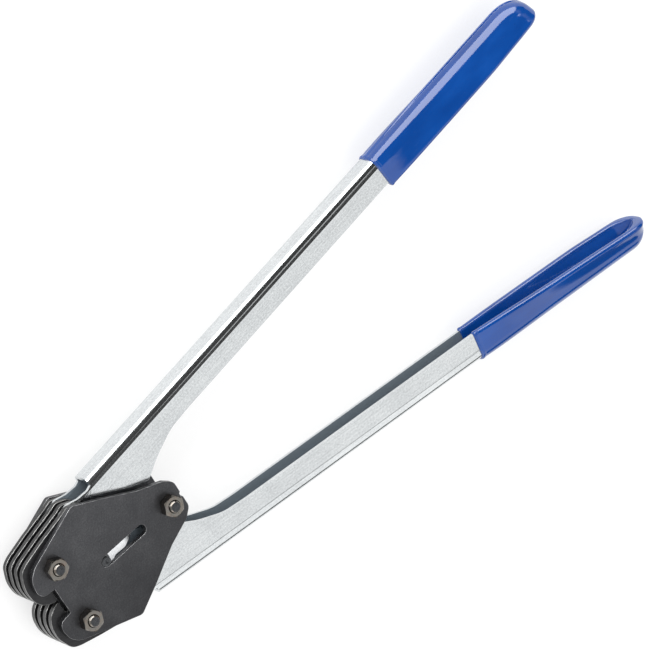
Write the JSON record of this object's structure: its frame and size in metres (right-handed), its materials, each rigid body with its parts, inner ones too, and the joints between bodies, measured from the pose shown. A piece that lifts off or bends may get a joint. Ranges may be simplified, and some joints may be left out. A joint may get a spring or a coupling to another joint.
{
  "type": "strap seal crimper",
  "caption": "Hand crimper for strap seals: laminated black jaws between two bolted side plates, worked by two long channel handles with dipped grips.",
  "frame": {"origin": "centre of the outer face of the rear bolt's head, under the head's rear side plate", "axes": "+X from the jaws towards the grips along the tool's axis, +Y towards the upper handle, +Z through the head from the bolt heads to the nuts"},
  "size_m": [0.4287, 0.1698, 0.0392],
  "materials": {
    "blackened_plate": "black-oxidised steel plate, fine diagonal grinding marks, satin",
    "hardened_jaw": "hardened and blackened steel, punched edges brushed brighter",
    "zinc_fastener": "yellow-passivated zinc, slightly dulled",
    "dark_pin": "dark hardened steel, machined",
    "zinc_handle": "bright zinc-plated sheet steel, faint mottling",
    "vinyl_grip": "glossy dipped vinyl, blue"
  },
  "bodies": {
    "head": {"side_plate_front": "blackened_plate", "side_plate_rear": "blackened_plate", "anvil_plate_rear": "blackened_plate", "anvil_plate_middle": "blackened_plate", "anvil_plate_front": "blackened_plate", "upper_pivot_bolt": "zinc_fastener", "upper_pivot_nut": "zinc_fastener", "lower_pivot_bolt": "zinc_fastener", "lower_pivot_nut": "zinc_fastener", "rear_bolt": "zinc_fastener", "rear_nut": "zinc_fastener", "rear_spacer_tube": "dark_pin"},
    "slide_pin": {"centre_pin": "dark_pin"},
    "upper_handle": {"upper_handle": "zinc_handle", "upper_grip": "vinyl_grip"},
    "lower_handle": {"lower_handle": "zinc_handle", "lower_grip": "vinyl_grip"},
    "upper_jaws": {"upper_jaw_1": "hardened_jaw", "upper_jaw_2": "hardened_jaw", "upper_jaw_3": "hardened_jaw", "upper_jaw_4": "hardened_jaw", "upper_drive_pin": "dark_pin"},
    "lower_jaws": {"lower_jaw_1": "hardened_jaw", "lower_jaw_2": "hardened_jaw", "lower_jaw_3": "hardened_jaw", "lower_jaw_4": "hardened_jaw", "lower_drive_pin": "dark_pin"}
  },
  "joints": [
    {"name": "pin_slide", "type": "slide", "parent": "head", "child": "slide_pin", "axis": [1, 0, 0], "range_m": [0, 0.0253]},
    {"name": "upper_handle_hinge", "type": "hinge", "parent": "slide_pin", "child": "upper_handle", "pos_m": [-0.046, 0, 0.01805], "axis": [0, 0, 1], "range_deg": [0, 57]},
    {"name": "lower_handle_hinge", "type": "hinge", "parent": "slide_pin", "child": "lower_handle", "pos_m": [-0.046, 0, 0.01805], "axis": [0, 0, 1], "range_deg": [-57, 0]},
    {"name": "upper_jaw_hinge", "type": "hinge", "parent": "head", "child": "upper_jaws", "pos_m": [-0.0714, 0.018, 0.01805], "axis": [0, 0, 1], "range_deg": [-27.5, 0]},
    {"name": "lower_jaw_hinge", "type": "hinge", "parent": "head", "child": "lower_jaws", "pos_m": [-0.0714, -0.018, 0.01805], "axis": [0, 0, 1], "range_deg": [0, 27.5]}
  ],
  "couplings": [
    {"joint": "pin_slide", "follows": "upper_handle_hinge", "m_per_rad": 0.02531},
    {"joint": "lower_handle_hinge", "follows": "upper_handle_hinge", "ratio": -1},
    {"joint": "upper_jaw_hinge", "follows": "upper_handle_hinge", "ratio": -0.4802},
    {"joint": "lower_jaw_hinge", "follows": "upper_handle_hinge", "ratio": 0.4802}
  ]
}
